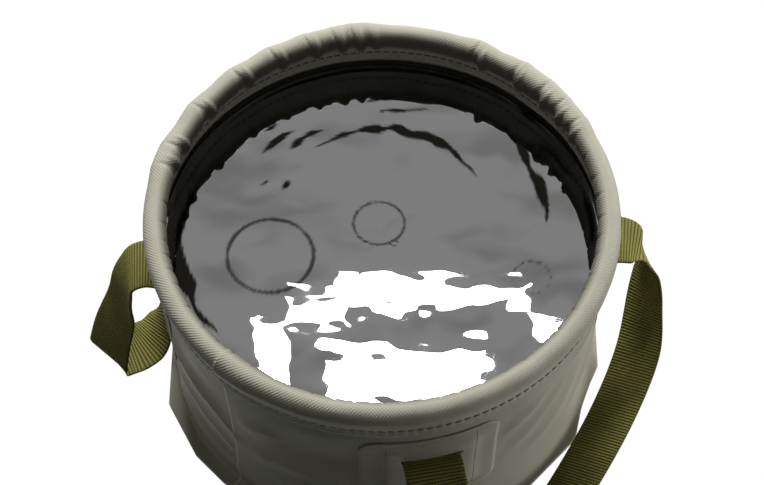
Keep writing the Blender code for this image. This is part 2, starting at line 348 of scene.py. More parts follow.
# %% Soiling
soil_group, enter, leave = new_group(
    "soft soiling",
    [
        ("Place", "Vector", None),
        ("Clean", "Color", (0.2, 0.2, 0.2, 1.0)),
        ("Dull", "Color", (0.1, 0.1, 0.1, 1.0)),
        ("Scale", "Float", 20.0),
    ],
    [("Color", "Color"), ("Roughness", "Float"), ("Grain", "Float")],
)
where, scale = enter.outputs["Place"], enter.outputs["Scale"]
slow_noise = {"Vector": where, "Scale": scale, "Detail": 5.0, "Roughness": 0.55}
patches = node(soil_group, "ShaderNodeTexNoise", slow_noise)
fine_noise = {"Vector": where, "Scale": times(soil_group, scale, 40.0), "Detail": 2.0}
fine = node(soil_group, "ShaderNodeTexNoise", fine_noise)
tinted = mixed(soil_group, patches.outputs["Fac"], enter.outputs["Clean"], enter.outputs["Dull"])
soil_group.links.new(tinted, leave.inputs["Color"])
soil_group.links.new(patches.outputs["Fac"], leave.inputs["Roughness"])
soil_group.links.new(fine.outputs["Fac"], leave.inputs["Grain"])
print("group", soil_group.name)


def soiled(tree, place, clean, dull, scale):
    """The soiling group in a material, with its own values."""
    values = {"Place": place, "Clean": clean, "Dull": dull, "Scale": scale}
    return node(tree, "ShaderNodeGroup", values, node_tree=soil_group).outputs


# %% [markdown]
# ## Coated tarpaulin
#
# The cloth is polyester in a smooth coating: a grey olive with a soft gloss. Its colour is even,
# so the folds and the fine weave, a bump on the flat cloth, give it its life. A band inside the
# hem is darkened as painted shade.


# %% Tarpaulin finish
def tarpaulin(name, clean, dull, low_gloss, high_gloss, weave, pitch):
    """The coated cloth, with its colours in linear light."""
    material, tree = new_finish(name)
    where = where_on(tree)
    soil = soiled(tree, where["Object"], clean, dull, 18.0)
    cloth = node(tree, "ShaderNodeGroup", {"Place": where["UV"], "Pitch": pitch}, node_tree=weave_group)
    grained = maths(tree, "MULTIPLY_ADD", soil["Grain"], 0.35, cloth.outputs["Height"])
    dress(tree, soil["Color"], soil["Roughness"], low_gloss, high_gloss, grained, weave, 0.0002)
    return material


wall_finish = tarpaulin(
    "wall tarpaulin", (0.32, 0.308, 0.250, 1.0), (0.27, 0.258, 0.205, 1.0), 0.36, 0.46, 0.25, 0.0012
)
hem_finish = tarpaulin(
    "hem tarpaulin", (0.34, 0.330, 0.270, 1.0), (0.29, 0.280, 0.225, 1.0), 0.38, 0.50, 1.0, 0.0022
)
patch_finish = tarpaulin(
    "patch tarpaulin", (0.31, 0.298, 0.240, 1.0), (0.26, 0.248, 0.198, 1.0), 0.34, 0.44, 0.25, 0.0012
)
print("finishes", wall_finish.name, hem_finish.name, patch_finish.name)

# %% Painted shade inside the hem
SHADE_BAND_PLACE = 0.0240
SHADE_BAND_CORE = 0.0035
SHADE_BAND_REACH = 0.0085

tree = hem_finish.node_tree
up = xyz(tree, where_on(tree)["UV"])["Y"]
# Painted shade: a band of darker colour on the inner lower side of the hem's tube, where shade falls.
tint(tree, line_mask(tree, up, SHADE_BAND_PLACE, SHADE_BAND_CORE, SHADE_BAND_REACH, 0.75), (0.040, 0.038, 0.030, 1.0))
print("painted shade band", round(2000.0 * SHADE_BAND_REACH, 1), "mm wide")

# %% [markdown]
# ## Webbing
#
# The handles are olive polyester webbing. Its weft makes ribs across the width, and each rib is a
# row of small beads where the warp threads pass over it. The strip's UV map gives ribs along it
# and beads across it.


# %% Webbing finish
RIB_PITCH = 0.0021
BEAD_PITCH = 0.00125


def webbing(name, light, dark):
    """Ribbed webbing: rows of beads, each row shifted by half a bead, with light tops and painted shade
    between them.
    """
    material, tree = new_finish(name)
    where = where_on(tree)
    parts = xyz(tree, where["UV"])
    rib_number = maths(tree, "DIVIDE", parts["Y"], RIB_PITCH)
    odd = maths(tree, "MODULO", maths(tree, "FLOOR", rib_number), 2.0)
    shifted = maths(tree, "MULTIPLY_ADD", odd, BEAD_PITCH / 2, parts["X"])
    rib = maths(tree, "ABSOLUTE", maths(tree, "SINE", times(tree, rib_number, math.pi)))
    bead_turn = times(tree, maths(tree, "DIVIDE", shifted, BEAD_PITCH), math.pi)
    bead = maths(tree, "ABSOLUTE", maths(tree, "SINE", bead_turn))
    height = times(tree, maths(tree, "POWER", rib, 0.6), maths(tree, "MULTIPLY_ADD", bead, 0.45, 0.55))
    soil = soiled(tree, where["UV"], (0.0, 0.0, 0.0, 1.0), (1.0, 1.0, 1.0, 1.0), 60.0)
    fuzz = maths(tree, "MULTIPLY_ADD", soil["Roughness"], 0.35, -0.17)
    # Painted light and shade: rib and bead tops get the light colour, and the grooves between them are
    # painted dark as shade.
    lit = maths(tree, "ADD", maths(tree, "POWER", height, 1.4), fuzz)
    clamped = node(tree, "ShaderNodeClamp", {"Value": lit})
    colour = mixed(tree, clamped.outputs["Result"], dark, light)
    dress(tree, colour, height, 0.8, 0.5, height, 0.9, 0.0005)
    return material


strap_finish = webbing("olive webbing", (0.205, 0.195, 0.056, 1.0), (0.028, 0.027, 0.009, 1.0))


def plain(name, colour, roughness, scale, strength):
    """A simple moulded or spun finish with a fine grain."""
    material, tree = new_finish(name)
    where = where_on(tree)
    darker = tuple(value * 0.7 for value in colour[:3]) + (1.0,)
    soil = soiled(tree, where["Object"], colour, darker, scale)
    low, high = roughness - 0.08, roughness + 0.08
    dress(tree, soil["Color"], soil["Roughness"], low, high, soil["Grain"], strength, 0.0001, 0.5)
    return material


thread_finish = plain("dark thread", (0.010, 0.009, 0.006, 1.0), 0.7, 400.0, 0.8)
plastic_finish = plain("black hoop plastic", (0.035, 0.035, 0.035, 1.0), 0.45, 90.0, 0.3)
for name in ("rim_hoop", "hoop_joiner"):
    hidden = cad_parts[name]
    hidden.data.materials.clear()
    hidden.data.materials.append(plastic_finish)
print("finishes", strap_finish.name, thread_finish.name, plastic_finish.name)

# %% [markdown]
# ## The wall
#
# Each wall panel is half of a tube, welded into its neighbour at two seams and turned out at the
# foot to a fin that is welded on the floor. The slack cloth breaks into sharp creases near the
# left seam and soft folds elsewhere. Each is a short line on the flat cloth: the closer a point is
# to it, the further out it stands.

# %% Folds of the wall
FIN_CORNERS = (
    (-150.0, 0.1555), (-131.0, 0.1575), (-112.0, 0.156), (-92.0, 0.1515), (-70.3, 0.1603), (-54.0, 0.1601),
    (-43.3, 0.1586), (-28.0, 0.1565), (-12.0, 0.1585), (4.0, 0.156), (20.0, 0.158), (38.0, 0.1565),
    (59.0, 0.1582), (68.2, 0.1522), (75.6, 0.153), (81.4, 0.1566), (95.0, 0.156), (108.0, 0.1545),
    (124.0, 0.158), (140.0, 0.156), (157.0, 0.1578), (174.0, 0.1555), (192.0, 0.1575), (210.0, 0.1555),
)
FIN_BEND = 0.004
FIN_TOP = 1.5 * FABRIC + PLAY
CREASES = (
    (
        ((-97.0, 0.09), (-84.0, 0.088), (-69.3, 0.09), (-58.0, 0.091), (-49.1, 0.0862), (-40.8, 0.069)),
        0.003,
        0.014,
    ),
    (
        ((-92.0, 0.04), (-74.5, 0.036), (-65.0, 0.0345), (-55.0, 0.0345), (-47.0, 0.03), (-40.4, 0.0208)),
        0.0028,
        0.012,
    ),
    (((-88.0, 0.019), (-73.9, 0.016), (-64.3, 0.015), (-54.3, 0.014), (-47.0, 0.009)), 0.0016, 0.007),
    (((-86.0, 0.06), (-72.0, 0.062), (-60.0, 0.06), (-50.0, 0.052), (-43.0, 0.044)), 0.0015, 0.009),
)
SOFT_FOLDS = (
    (((-40.0, 0.0935), (-32.2, 0.105), (-24.0, 0.104)), 0.0013, 0.006),
    (((-39.0, 0.012), (-30.0, 0.02), (-18.0, 0.014)), 0.0014, 0.006),
    (((-38.0, 0.06), (-28.0, 0.066), (-12.0, 0.064)), 0.0012, 0.008),
    (((-36.0, 0.04), (-22.0, 0.046), (-8.0, 0.04)), 0.0013, 0.008),
    (((31.0, 0.092), (38.0, 0.106), (46.0, 0.124)), 0.0016, 0.006),
    (((33.0, 0.062), (44.0, 0.088), (56.0, 0.11)), 0.0018, 0.008),
    (((36.0, 0.04), (50.0, 0.064), (64.0, 0.094)), 0.001, 0.009),
    (((52.0, 0.118), (62.0, 0.132), (70.0, 0.136)), 0.0014, 0.006),
    (((58.0, 0.04), (72.0, 0.064), (84.0, 0.088)), 0.0009, 0.009),
    (((104.0, 0.03), (112.0, 0.052), (124.0, 0.06)), 0.0016, 0.008),
    (((112.0, 0.1), (124.0, 0.086), (138.0, 0.092)), 0.0018, 0.007),
    (((120.0, 0.034), (132.0, 0.044), (146.0, 0.036)), 0.0016, 0.008),
    (((150.0, 0.07), (158.0, 0.088), (168.0, 0.098)), 0.0014, 0.008),
    (((198.0, 0.082), (208.0, 0.094), (222.0, 0.09)), 0.0018, 0.007),
    (((196.0, 0.036), (210.0, 0.05), (226.0, 0.044)), 0.0018, 0.008),
    (((232.0, 0.11), (240.0, 0.09), (252.0, 0.08)), 0.0016, 0.007),
    (((228.0, 0.06), (240.0, 0.048), (254.0, 0.04)), 0.0018, 0.008),
)
print(len(CREASES), "creases,", len(SOFT_FOLDS), "soft folds and", len(FIN_CORNERS), "corners of the fin")


# %% The shape of the wall
SOFT_CREST = 0.0022
SLOW_WAVE = 0.0011
FINE_WAVE = 0.0004
TOP_FLARE = 0.0022
FOOT = 0.0125
TUCKED_UP = 0.0035
TUCK_STEP = 0.0005
WALL_HEIGHT = HEM_BOTTOM + TUCKED_UP - FIN_TOP - FIN_BEND


def fin_reach(angle):
    """The radius of the fin's edge, straight between its corners."""
    corners = sorted((angle_between(corner, 0.0) % 360.0, radius) for corner, radius in FIN_CORNERS)
    turn = angle % 360.0
    before = max((corner for corner in corners if corner[0] <= turn), default=corners[-1])
    after = min((corner for corner in corners if corner[0] > turn), default=corners[0])
    low, high = at(before[0], before[1], 0.0), at(after[0], after[1], 0.0)
    side = around(turn)
    near, far = low.dot(side), high.dot(side)
    share = near / (near - far) if abs(near - far) > 1e-9 else 0.0
    return (low + (high - low) * share).dot(outward(turn))


def fold_height(line, height, width, crest, angle, up):
    """How far one fold pushes a point out: it dies away to both sides and ends of its line."""
    best = 0.0
    count = len(line) - 1
    for number, (start, end) in enumerate(zip(line, line[1:])):
        start_x = math.radians(angle_between(start[0], angle)) * WALL_RADIUS
        end_x = start_x + math.radians(end[0] - start[0]) * WALL_RADIUS
        run_x, run_y = end_x - start_x, end[1] - start[1]
        share = -(start_x * run_x + (start[1] - up) * run_y) / (run_x**2 + run_y**2)
        share = min(1.0, max(0.0, share))
        off = math.hypot(start_x + share * run_x, start[1] + share * run_y - up, crest) - crest
        travel = (number + share) / count
        fade = ease(travel, 0.0, 0.4) * (1.0 - ease(travel, 0.65, 1.0) * (1.0 if crest else 0.5))
        foot = width * (0.5 + fade)
        if off < foot:
            best = max(best, height * fade * (1.0 - off / foot) ** 2)
    return best


def wall_bulge(angle, up):
    """Folds and slow waves, calm at the hem, the foot and the patches."""
    total = sum(fold_height(line, height, width, 0.0, angle, up) for line, height, width in CREASES)
    for line, height, width in SOFT_FOLDS:
        total += fold_height(line, height, 1.8 * width, SOFT_CREST, angle, up)
    slow = noise.noise(at(angle, 3.2, up * 26.0)) * SLOW_WAVE
    total += slow + noise.noise(at(angle, 8.0, up * 60.0) + Vector((5.0, 0.0, 0.0))) * FINE_WAVE
    calm = ease(up, 0.010, 0.030) * (1.0 - ease(up, 0.128, 0.142))
    for anchor in ANCHOR_ANGLES.values():
        away = abs(angle_between(angle, anchor)) / degrees_along(PATCH_WIDTH / 2)
        rise = abs(up - PATCH_CENTRE) / (PATCH_HEIGHT / 2)
        calm *= ease(max(away, rise), 0.95, 1.25)
    return total * calm


def flare(height):
    """How far the top of the wall spreads to meet the hem."""
    return TOP_FLARE * ease(height, 0.098, HEM_BOTTOM - 0.004)


def wall_point(angle, up):
    """A point of the wall's middle layer at a length up the cloth from its foot."""
    if up >= 0.0:
        height = FIN_TOP + FIN_BEND + up
        step_in = TUCK_STEP * ease(height, HEM_BOTTOM - TUCK_STEP, HEM_BOTTOM)
        return at(angle, WALL_RADIUS + flare(height) - step_in + wall_bulge(angle, height), height)
    bend_length = FIN_BEND * math.pi / 2
    if -up <= bend_length:
        turn = -up / FIN_BEND
        radius = WALL_RADIUS + FIN_BEND * (1.0 - math.cos(turn))
        return at(angle, radius, FIN_TOP + FIN_BEND * (1.0 - math.sin(turn)))
    share = (-up - bend_length) / (FOOT - bend_length)
    start = WALL_RADIUS + FIN_BEND
    return at(angle, start + share * (fin_reach(angle) - start), FIN_TOP)


print("wall cloth is", round((FOOT + WALL_HEIGHT) * 1000, 1), "mm tall before it is bent")


# %% Cuts in flat cloth
def cut_lines(build, places, direction, faces=None):
    """Cuts flat cloth along straight lines, whole or only at the given faces."""
    for place in places:
        part = faces if faces is not None else build.faces[:]
        geom = list({thing for face in part for thing in (*face.verts, *face.edges, face)})
        spot = tuple(place * value for value in direction)
        bmesh.ops.bisect_plane(build, geom=geom, plane_co=spot, plane_no=direction, dist=0.00002)


def cut_crease(build, line, start):
    """Cuts the cloth along a crease, which gives its crest a row of points."""
    spots = []
    for angle, height in line:
        across = math.radians(angle_between(angle, start + 90.0) + 90.0) * WALL_RADIUS
        spots.append(Vector((across, height - FIN_TOP - FIN_BEND + FOOT, 0.0)))
    for first, second in zip(spots, spots[1:]):
        run = second - first
        near = []
        for face in build.faces:
            middle = face.calc_center_median() - first
            share = middle.dot(run) / run.length_squared
            if -0.02 <= share <= 1.02 and (middle - run * share).length < 0.003:
                near.append(face)
        if near:
            normal = Vector((-run.y, run.x, 0.0)).normalized()
            cut_lines(build, [first.dot(normal)], normal, near)


# %% Wall panels
SEAM_LAP = 0.0075
LAP_FADE = 0.045
WALL_COLUMNS = 290
WALL_ROWS = 112


def wall_panel(side, start, sweep, lapped):
    """A wall panel, with its ends out where it laps over its neighbour."""
    width = math.radians(sweep) * WALL_RADIUS
    build = flat_cloth(width, FOOT + WALL_HEIGHT, WALL_COLUMNS, WALL_ROWS)
    tuck = FOOT + HEM_BOTTOM - FIN_TOP - FIN_BEND
    cut_lines(build, (tuck - TUCK_STEP, tuck), (0.0, 1.0, 0.0))
    for line, _, _ in CREASES:
        cut_crease(build, line, start)

    def place(across, up):
        angle = start + degrees_along(across)
        point = wall_point(angle, up - FOOT)
        if lapped:
            inward = min(across, width - across)
            out = (FABRIC + PLAY) * (1.0 - ease(inward, SEAM_LAP, SEAM_LAP + LAP_FADE))
            out *= 1.0 - ease(point.z, HEM_BOTTOM - TUCK_STEP, HEM_BOTTOM)
            if up - FOOT < 0.0:
                point.z += out
            else:
                point += outward(angle) * out
        return point

    bend(build, place)
    press_with_wall(fabric_piece("wall_cloth_" + side, build, wall_finish, "bowl_base", "wall_panel_" + side))


lap_turn = degrees_along(SEAM_LAP)
wall_panel("front", SEAM_ANGLE, 180.0 + lap_turn, True)
wall_panel("back", SEAM_ANGLE + 180.0 + 0.1, 180.0 - 0.2 + lap_turn, False)

# %% [markdown]
# ## The floor panel
#
# The floor is a flat disc of the same cloth. Its edge is cut with straight scissors strokes, so it
# and the fin above it share their blunt corners. A line spun round the middle gives the disc.

# %% Floor panel
FLOOR_RINGS = 15
FLOOR_STEPS = 240
FLOOR_WAVE = 0.0007

radii = [WALL_RADIUS * ring / FLOOR_RINGS for ring in range(1, FLOOR_RINGS + 2)]
build = spun_disc(radii, FABRIC / 2, FLOOR_STEPS)
for vert in build.verts:
    radius = vert.co.xy.length
    if radius > WALL_RADIUS + 0.001:
        angle = math.degrees(math.atan2(vert.co.x, -vert.co.y))
        vert.co = at(angle, fin_reach(angle), vert.co.z)
    elif radius > 0.001:
        wave = noise.noise(vert.co * 28.0) * FLOOR_WAVE * (1.0 - ease(radius, 0.11, 0.14))
        vert.co.z += max(0.0, wave)
bmesh.ops.recalc_face_normals(build, faces=build.faces)
keep_layout(build)
fabric_piece("floor_cloth", build, wall_finish, "bowl_base", "base_disc")

# %% [markdown]
# ## The hem
#
# The hem is one strip of cloth per half: up inside, over the hoop and down outside, sewn through
# just under the hoop. Cloth bent round a ring has too much length on the inner side, so it puckers
# there in three-cornered dents and swells a little between them. The strip is laid out flat, and
# the dents say how far each point stands off the hoop.

# %% Section of the hem
TUBE_RADIUS = 0.0068
SKIRT_OUT = TOP_FLARE + 0.0010
SKIRT_IN = -0.0016
INNER_TURN = -160.0
OUTER_TURN = -13.0
TURN_STEPS = 72
HEM_ROWS = 64
HEM_COLUMNS = 420


def even_places(points, count=None, spacing=None):
    """Even steps along a line as (stretch, share of it), and the whole length."""
    lengths = [0.0]
    for first, second in zip(points, points[1:]):
        lengths.append(lengths[-1] + (second - first).length)
    count = count or round(lengths[-1] / spacing)
    places = []
    number = 0
    for step in range(count + 1):
        target = lengths[-1] * step / count
        while number < len(points) - 2 and lengths[number + 1] < target:
            number += 1
        share = (target - lengths[number]) / (lengths[number + 1] - lengths[number])
        places.append((number, min(1.0, max(0.0, share))))
    return places, lengths[-1]


section = [Vector((SKIRT_IN, height - RIM_HEIGHT, 0.0)) for height in (HEM_BOTTOM, STITCH_HEIGHT)]
first_turn, last_turn = math.radians(INNER_TURN), math.radians(OUTER_TURN - 360.0)
for step in range(TURN_STEPS + 1):
    turn = first_turn + (last_turn - first_turn) * step / TURN_STEPS
    section.append(Vector((TUBE_RADIUS * math.cos(turn), TUBE_RADIUS * math.sin(turn), 0.0)))
section += [Vector((SKIRT_OUT, height - RIM_HEIGHT, 0.0)) for height in (STITCH_HEIGHT, HEM_BOTTOM)]
places, hem_length = even_places(section, HEM_ROWS)
section = [section[number].lerp(section[number + 1], share) for number, share in places]
print("hem strip is", round(hem_length * 1000, 1), "mm wide")

# %% Dents of the hem
dice = random.Random(7)
PINCHES = (
    (-103.0, 1.5, 1.9), (-109.5, 2.2, 1.7), (-123.0, 2.3, 1.8), (-137.5, 2.6, 1.9), (-149.0, 2.3, 1.6),
    (-159.0, 2.6, 1.8), (-166.5, 2.6, 1.6), (-171.5, 2.9, 1.8), (-176.0, 1.8, 1.4), (153.5, 2.8, 1.8),
    (141.0, 1.6, 1.5), (131.5, 2.2, 1.6), (125.0, 2.4, 1.5), (118.0, 2.0, 1.4),
)
PINCH_RISE = 0.0016
PINCH_GROOVE = 0.0012
PINCH_LIP = 0.001
SMALL_DENT = 0.001
HEM_PLAY = 0.0001
INNER_SLACK = 0.0006
HEM_WAVE = 0.0003
DEEPEST = -0.0002
SMALL_DENTS = []
turn = -92.0
while turn < 112.0:
    SMALL_DENTS.append((turn, dice.uniform(0.7, 1.3), dice.uniform(0.8, 1.3)))
    turn += dice.uniform(4.4, 7.6)
print(len(PINCHES), "pinches and", len(SMALL_DENTS), "small dents")


def notch(angle, face, turn, depth, half_width, end):
    """A three-cornered dent: wide inside, closing to a point at a face."""
    travel = 1.0 - ease(face, 178.0, end)
    spread = half_width * (0.2 + 0.8 * travel)
    off = abs(angle_between(angle, turn)) / spread
    return depth * travel**0.5 * max(0.0, 1.0 - off) if off < 1.0 else 0.0


def hem_swell(angle, face):
    """How far the cloth stands off. Face is 180 inside, 270 on top and 360 outside."""
    inner = 1.0 - ease(face, 200.0, 330.0)
    swell = HEM_PLAY + INNER_SLACK * inner
    for turn, depth, half_width in PINCHES:
        off = angle_between(angle, turn)
        if abs(off) < 9.0:
            swell += PINCH_RISE * (1.0 - inner) * max(0.0, 1.0 - abs(off) / 6.0)
            swell -= PINCH_GROOVE * notch(angle, face, turn, depth, half_width, 318.0)
            swell += PINCH_LIP * notch(angle, face, turn - 2.6, depth, half_width, 285.0)
    for turn, depth, half_width in SMALL_DENTS:
        if abs(angle_between(angle, turn)) < 3.0:
            swell -= SMALL_DENT * notch(angle, face, turn, depth, half_width, 262.0)
    return max(swell + noise.noise(at(angle, 9.0, face / 60.0)) * HEM_WAVE, DEEPEST)


print("swell at the front, inside:", round(hem_swell(0.0, 180.0) * 1000, 2), "mm")


# %% Hem halves
HEM_LAP = 0.006
HEM_STEP = 0.0011


def hem_step(inward):
    """How far the lapped hem stands out, at a length from its end."""
    return HEM_STEP * (1.0 - ease(inward, HEM_LAP, HEM_LAP + LAP_FADE))


def hem_half(side, start, sweep, lapped):
    """Half of the hem, with its ends stepped out where it laps."""
    width = math.radians(sweep) * WALL_RADIUS
    build = flat_cloth(width, hem_length, HEM_COLUMNS, HEM_ROWS)

    def place(across, up):
        angle = start + degrees_along(across)
        spot = section[round(up / hem_length * HEM_ROWS)]
        reach = math.hypot(spot.x, spot.y)
        lap = hem_step(min(across, width - across)) if lapped else 0.0
        face = 180.0 + math.degrees(math.atan2(spot.y, -spot.x))
        if face < 90.0:
            face += 360.0
        low = ease(-spot.y, 0.002, 0.012)
        way = Vector((spot.x, spot.y * (1.0 - low), 0.0)).normalized()
        tubeness = 1.0 - ease(reach, TUBE_RADIUS + 0.0005, TUBE_RADIUS + 0.006)
        out = hem_swell(angle, face) * tubeness + lap + low * 0.00012 * math.sin(math.radians(angle) * 159.0)
        return at(angle, WALL_RADIUS + spot.x + way.x * out, RIM_HEIGHT + spot.y + way.y * out)

    bend(build, place)
    fabric_piece("hem_cloth_" + side, build, hem_finish, "rim", "rim_hem_" + side)


hem_turn = degrees_along(HEM_LAP)
hem_half("front", SEAM_ANGLE - 1.0, 180.0 + hem_turn, True)
hem_half("back", SEAM_ANGLE + 179.2, 179.6 + hem_turn, False)

# %% [markdown]
# ## The stitches
#
# A lockstitch shows as a row of short dashes, each sunk a little at its ends. One stitch is a cube
# drawn out and rounded with a bevel, and a spin of copies sets the whole row round the bowl.

# %% Rows of stitches
STITCHES = 159
STITCH_LENGTH = 0.0043


def lap_out(angle):
    """How far the lapped hem of the front half stands out at an angle."""
    from_seams = (angle - (SEAM_ANGLE - 1.0)) % 360.0
    inward = min(from_seams, 180.0 + hem_turn - from_seams) / degrees_along(1.0)
    return hem_step(inward) if inward >= 0.0 else 0.0


def stitch_row(build, radius, height, thickness):
    """A ring of stitches standing half out of the cloth."""
    side = 1.0 if radius > WALL_RADIUS else -1.0
    made = bmesh.ops.create_cube(build, size=1.0)["verts"]
    bmesh.ops.scale(build, verts=made, vec=(STITCH_LENGTH, thickness, thickness * 1.15))
    edges = list({edge for vert in made for edge in vert.link_edges})
    bevelled = rounded(build, edges, "EDGES", thickness * 0.3, 2)
    faces = set(bevelled["faces"])
    for vert in bevelled["verts"]:
        faces.update(vert.link_faces)
    verts = list({vert for face in faces for vert in face.verts})
    for vert in verts:
        share = vert.co.x / (STITCH_LENGTH / 2)
        vert.co.y += 0.35 * thickness * share * share * side
        vert.co.z += 0.12 * thickness * share
    bmesh.ops.translate(build, verts=verts, vec=(0.0, -radius, height))
    geom = list(faces) + verts + list({edge for face in faces for edge in face.edges})
    spin_round(build, geom, 2.0 * math.pi * (STITCHES - 1) / STITCHES, STITCHES - 1, use_duplicate=True)
    for vert in build.verts:
        if (vert.co.xy.length - WALL_RADIUS) * side > 0.0:
            angle = math.degrees(math.atan2(vert.co.x, -vert.co.y))
            vert.co += outward(angle) * side * lap_out(angle)


build = bmesh.new()
stitch_row(build, WALL_RADIUS + SKIRT_OUT + FABRIC / 2 + PLAY, STITCH_HEIGHT, 0.0013)
stitch_row(build, WALL_RADIUS + SKIRT_IN - FABRIC / 2 - PLAY, STITCH_HEIGHT, 0.0011)
keep_layout(build)
finished("hem_stitches", build, thread_finish, "rim", ("hem_thread",))

# %% [markdown]
# ## Patches and weld lines
#
# A patch starts as one flat rectangle. Its corners are rounded with a vertex bevel, bisecting
# planes cut it into small cells, so it can bend with the wall, and the strap's slit is cut out the
# same way. The weld lines and the small teeth of the welding wheel are a bump on the flat cloth.

# %% Patch finish with weld lines
PATCH_CORNER = 0.014
WELD_MARGIN = 0.0068
WELD_LINE = 0.00045
TOOTH_PITCH = 0.0011
TEETH_END = 0.032
SIDE_LINE = 0.0165


def between(tree, value, low, high):
    """1 where a value lies between two limits."""
    return times(tree, maths(tree, "GREATER_THAN", value, low), maths(tree, "LESS_THAN", value, high))


def from_middle(tree, value, whole):
    """The distance of a place on the flat patch from its middle line."""
    return maths(tree, "ABSOLUTE", maths(tree, "SUBTRACT", value, whole / 2))


def add_weld_lines(tree):
    """Grooves of the weld on top of the plain tarpaulin finish."""
    target = tree.nodes["Principled BSDF"].inputs["Normal"]
    parts = xyz(tree, where_on(tree)["UV"])
    aside, side_end = from_middle(tree, parts["X"], PATCH_WIDTH), PATCH_WIDTH / 2
    above, top = from_middle(tree, parts["Y"], PATCH_HEIGHT), PATCH_HEIGHT / 2
    level = line_mask(tree, above, top - WELD_MARGIN, 0.0, WELD_LINE)
    level = times(tree, level, between(tree, aside, 0.0, side_end - WELD_MARGIN))
    upright = line_mask(tree, aside, side_end - SIDE_LINE, 0.0, WELD_LINE)
    upright = times(tree, upright, between(tree, above, 0.0, top - WELD_MARGIN))
    tooth = maths(tree, "SINE", times(tree, parts["X"], 2.0 * math.pi / TOOTH_PITCH))
    teeth = times(tree, between(tree, above, top - TOOTH_PITCH, top), maths(tree, "GREATER_THAN", tooth, 0.0))
    teeth = times(tree, teeth, between(tree, aside, 0.0, TEETH_END))
    grooves = maths(tree, "MAXIMUM", maths(tree, "MAXIMUM", level, upright), teeth)
    tint(tree, times(tree, grooves, 0.75), (0.020, 0.018, 0.013, 1.0))
    flat = maths(tree, "SUBTRACT", 1.0, grooves)
    sunk = {"Height": flat, "Strength": 0.8, "Distance": 0.0004, "Normal": target.links[0].from_socket}
    tree.links.new(node(tree, "ShaderNodeBump", sunk).outputs["Normal"], target)


add_weld_lines(patch_finish.node_tree)

# %% Patches
SLIT_WIDTH = WEBBING_WIDTH + 0.001
SLIT_TALL = WEBBING_THICK + 0.0014
PATCH_CELL = 0.0018
PATCH_LIFT = 0.0010
TAIL_RISE = 0.0017
PATCH_WAVE = 0.0005


def patch_rise(across, up):
    """How far the patch stands off the wall, over the strap's tail and towards its edge."""
    side = min(across, PATCH_WIDTH - across)
    end = min(up, PATCH_HEIGHT - up)
    rise = PATCH_LIFT + TAIL_RISE * ease(side, 0.009, 0.021) * ease(end, 0.008, 0.018)
    spot = Vector((across * 42.0, up * 42.0, 0.0))
    return rise + PATCH_WAVE * noise.noise(spot) * ease(min(side, end), 0.0, 0.012)


def anchor_patch(side, angle):
    """A welded patch with the slit that the strap comes out of."""
    build = flat_cloth(PATCH_WIDTH, PATCH_HEIGHT, 1, 1)
    rounded(build, build.verts[:], "VERTICES", PATCH_CORNER, 10)
    slit_middle = HINGE_HEIGHT - PATCH_CENTRE + PATCH_HEIGHT / 2
    sides = (PATCH_WIDTH / 2 - SLIT_WIDTH / 2, PATCH_WIDTH / 2 + SLIT_WIDTH / 2)
    ends = (slit_middle - SLIT_TALL / 2, slit_middle + SLIT_TALL / 2)
    columns = [PATCH_CELL * number for number in range(1, int(PATCH_WIDTH / PATCH_CELL))]
    rows = [PATCH_CELL * number for number in range(1, int(PATCH_HEIGHT / PATCH_CELL))]
    cut_lines(build, columns + list(sides), (1.0, 0.0, 0.0))
    cut_lines(build, rows + list(ends), (0.0, 1.0, 0.0))
    hole = []
    for face in build.faces:
        middle = face.calc_center_median()
        if sides[0] < middle.x < sides[1] and ends[0] < middle.y < ends[1]:
            hole.append(face)
    bmesh.ops.delete(build, geom=hole, context="FACES")
    keep_layout(build)

    def place(across, up):
        height = PATCH_CENTRE - PATCH_HEIGHT / 2 + up
        turn = angle + degrees_along(across - PATCH_WIDTH / 2)
        return at(turn, WALL_RADIUS + flare(height) + patch_rise(across, up), height)

    bend(build, place)
    piece = fabric_piece("cloth_patch_" + side, build, patch_finish, "bowl_base", "anchor_patch_" + side)
    press_with_wall(piece)


for side, angle in ANCHOR_ANGLES.items():
    anchor_patch(side, angle)

# %% [markdown]
# ## The webbing handles
#
# A handle is one strap that comes out of one slit, hangs in a loop and goes back into the other.
# Stiff webbing turns on its edge like a ribbon, so its route is a list of stations, each with a
# place and the direction across the strap. A smooth curve runs through them. The section is a flat
# tube with round edges and real ribs.

# %% Routes of the handles: place and direction across the strap
RIGHT_ROUTE = (
    (0.1482, 0.0156, 0.1048, 0.1, -0.99, 0.0), (0.16, 0.0165, 0.1074, 0.1, -0.99, 0.0),
    (0.1732, 0.0145, 0.1048, 0.14, -0.985, 0.05), (0.1788, 0.01, 0.0985, 0.2, -0.96, 0.13),
    (0.182, 0.0035, 0.088, 0.3, -0.89, 0.32), (0.1812, -0.009, 0.0713, 0.5, -0.71, 0.5),
    (0.1775, -0.035, 0.0457, 0.68, -0.53, 0.5), (0.1608, -0.0723, 0.0301, 0.7, -0.509, 0.5),
    (0.1358, -0.1153, 0.0212, 0.7, -0.509, 0.5), (0.1051, -0.1615, 0.0174, 0.7, -0.509, 0.5),
    (0.0755, -0.1985, 0.021, 0.7, -0.509, 0.5), (0.056, -0.212, 0.036, 0.7, -0.509, 0.5),
    (0.0485, -0.204, 0.058, 0.72, -0.49, 0.49), (0.042, -0.186, 0.08, 0.9, -0.1, 0.4),
    (0.0372, -0.1735, 0.096, 0.96, 0.12, 0.15), (0.0345, -0.164, 0.105, 0.975, 0.2, 0.03),
    (0.0327, -0.1545, 0.1078, 0.978, 0.208, 0.0), (0.031, -0.1457, 0.1048, 0.978, 0.208, 0.0),
)
